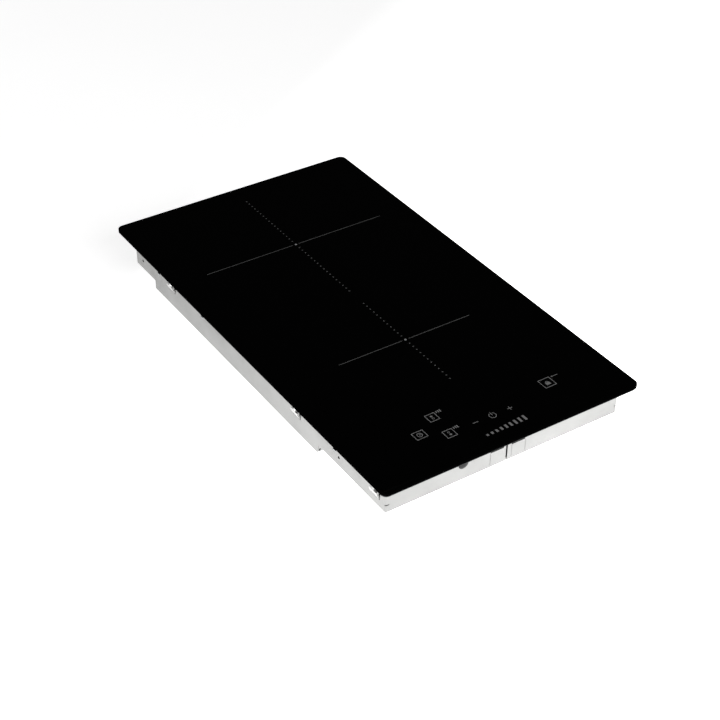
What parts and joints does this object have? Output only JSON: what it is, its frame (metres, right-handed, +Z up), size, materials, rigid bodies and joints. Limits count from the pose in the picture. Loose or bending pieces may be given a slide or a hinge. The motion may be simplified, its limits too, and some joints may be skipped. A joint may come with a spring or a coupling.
{
  "type": "induction cooktop",
  "caption": "Narrow built-in induction cooktop: black glass plate with touch keys on a shallow sheet-steel housing with sprung coils, power board and fan.",
  "frame": {"origin": "centre of the plate in plan, at the level of the pressed feet under the deep floor", "axes": "+Z up through the glass, +Y towards the rear edge, +X to the right seen from the controls"},
  "size_m": [0.288, 0.51, 0.05],
  "materials": {
    "black_glass_ceramic": "polished",
    "fired_print": "satin",
    "foam_seal": "matt",
    "silicone": "satin",
    "galvanised_steel": "rolled and zinc coated",
    "zinc_screws": "zinc plated",
    "spring_steel": "bright",
    "ground_steel": "ground",
    "black_nylon": "moulded, fine texture",
    "white_carrier": "moulded",
    "aluminium_sheet": "rolled",
    "extruded_aluminium": "extruded",
    "green_board": "solder mask",
    "brass_standoffs": "turned",
    "black_epoxy": "moulded",
    "red_case": "moulded",
    "enamelled_copper": "lacquered",
    "yellow_tape": "taped",
    "ferrite": "sintered",
    "mica": "pressed",
    "ceramic_fibre": "felted",
    "glass_sleeves": "braided",
    "grey_ribbon": "extruded",
    "black_rubber": "moulded",
    "wire_sleeves": "extruded",
    "earth_sleeve": "extruded"
  },
  "bodies": {
    "housing": {"glass_top": "black_glass_ceramic", "printed_marks": "fired_print", "worktop_seal": "foam_seal", "glass_bond": "silicone", "housing_frame": "galvanised_steel", "seam_plate": "galvanised_steel", "bottom_cover": "galvanised_steel", "housing_screws": "zinc_screws", "front_plug": "black_nylon", "clip_bases": "spring_steel", "coil_tray": "aluminium_sheet", "tray_screws": "zinc_screws", "rear_coil_springs": "spring_steel", "rear_coil_leads": "glass_sleeves", "front_coil_springs": "spring_steel", "front_coil_leads": "glass_sleeves", "power_board": "green_board", "board_standoffs": "brass_standoffs", "board_screws": "zinc_screws", "heatsink": "extruded_aluminium", "power_transistors": "black_epoxy", "transistor_clamp": "spring_steel", "capacitors": "red_case", "mains_choke": "enamelled_copper", "supply_transformer": "yellow_tape", "fan_scroll": "black_nylon", "fan_plate": "black_nylon", "fan_motor": "enamelled_copper", "control_board": "green_board", "control_carrier": "black_nylon", "touch_springs": "spring_steel", "control_ribbon": "grey_ribbon", "terminal_block": "white_carrier", "terminal_bezel": "black_nylon", "cable_grommet": "black_rubber", "mains_leads": "wire_sleeves", "earth_lead": "earth_sleeve"},
    "rear_coil": {"rear_carrier": "aluminium_sheet", "rear_ferrites": "ferrite", "rear_mica": "mica", "rear_winding": "enamelled_copper", "rear_insulation": "ceramic_fibre", "rear_sensor_spring": "spring_steel"},
    "front_coil": {"front_carrier": "aluminium_sheet", "front_ferrites": "ferrite", "front_mica": "mica", "front_winding": "enamelled_copper", "front_insulation": "ceramic_fibre", "front_sensor_spring": "spring_steel"},
    "rear_probe": {"rear_sensor": "white_carrier"},
    "front_probe": {"front_sensor": "white_carrier"},
    "fan_rotor": {"fan_impeller": "black_nylon", "fan_shaft": "ground_steel"},
    "lid": {"terminal_lid": "black_nylon"},
    "tongue_left_rear": {"clip_left_rear": "spring_steel"},
    "tongue_left_mid": {"clip_left_mid": "spring_steel"},
    "tongue_left_front": {"clip_left_front": "spring_steel"},
    "tongue_right_rear": {"clip_right_rear": "spring_steel"},
    "tongue_right_mid": {"clip_right_mid": "spring_steel"},
    "tongue_right_front": {"clip_right_front": "spring_steel"}
  },
  "joints": [
    {"name": "fan_spin", "type": "hinge", "parent": "housing", "child": "fan_rotor", "pos_m": [-0.03, 0.125, 0.012], "axis": [0, 0, 1], "continuous": true},
    {"name": "rear_coil_float", "type": "slide", "parent": "housing", "child": "rear_coil", "axis": [0, 0, -1], "range_m": [0, 0.0015], "stiffness_N_per_m": 4500, "springref_m": -0.006, "deforming": ["rear_coil_springs"]},
    {"name": "front_coil_float", "type": "slide", "parent": "housing", "child": "front_coil", "axis": [0, 0, -1], "range_m": [0, 0.0015], "stiffness_N_per_m": 4500, "springref_m": -0.006, "deforming": ["front_coil_springs"]},
    {"name": "rear_probe_slide", "type": "slide", "parent": "rear_coil", "child": "rear_probe", "axis": [0, 0, -1], "range_m": [0, 0.001], "stiffness_N_per_m": 300, "springref_m": -0.003, "deforming": ["rear_sensor_spring"]},
    {"name": "front_probe_slide", "type": "slide", "parent": "front_coil", "child": "front_probe", "axis": [0, 0, -1], "range_m": [0, 0.001], "stiffness_N_per_m": 300, "springref_m": -0.003, "deforming": ["front_sensor_spring"]},
    {"name": "left_rear_clip_flex", "type": "hinge", "parent": "housing", "child": "tongue_left_rear", "pos_m": [-0.1316, 0.1532, 0.021], "axis": [0, 1, 0], "range_deg": [0, 18], "stiffness_Nm_per_rad": 0.05},
    {"name": "left_mid_clip_flex", "type": "hinge", "parent": "housing", "child": "tongue_left_mid", "pos_m": [-0.1316, -0.0932, 0.021], "axis": [0, 1, 0], "range_deg": [0, 18], "stiffness_Nm_per_rad": 0.05},
    {"name": "left_front_clip_flex", "type": "hinge", "parent": "housing", "child": "tongue_left_front", "pos_m": [-0.1316, -0.225, 0.021], "axis": [0, 1, 0], "range_deg": [0, 18], "stiffness_Nm_per_rad": 0.05},
    {"name": "right_rear_clip_flex", "type": "hinge", "parent": "housing", "child": "tongue_right_rear", "pos_m": [0.1316, 0.1532, 0.021], "axis": [0, -1, 0], "range_deg": [0, 18], "stiffness_Nm_per_rad": 0.05},
    {"name": "right_mid_clip_flex", "type": "hinge", "parent": "housing", "child": "tongue_right_mid", "pos_m": [0.1316, -0.0932, 0.021], "axis": [0, -1, 0], "range_deg": [0, 18], "stiffness_Nm_per_rad": 0.05},
    {"name": "right_front_clip_flex", "type": "hinge", "parent": "housing", "child": "tongue_right_front", "pos_m": [0.1316, -0.225, 0.021], "axis": [0, -1, 0], "range_deg": [0, 18], "stiffness_Nm_per_rad": 0.05},
    {"name": "terminal_lid_hinge", "type": "hinge", "parent": "housing", "child": "lid", "pos_m": [0.0972, 0.2405, 0.0176], "axis": [-1, 0, 0], "range_deg": [0, 105]}
  ]
}
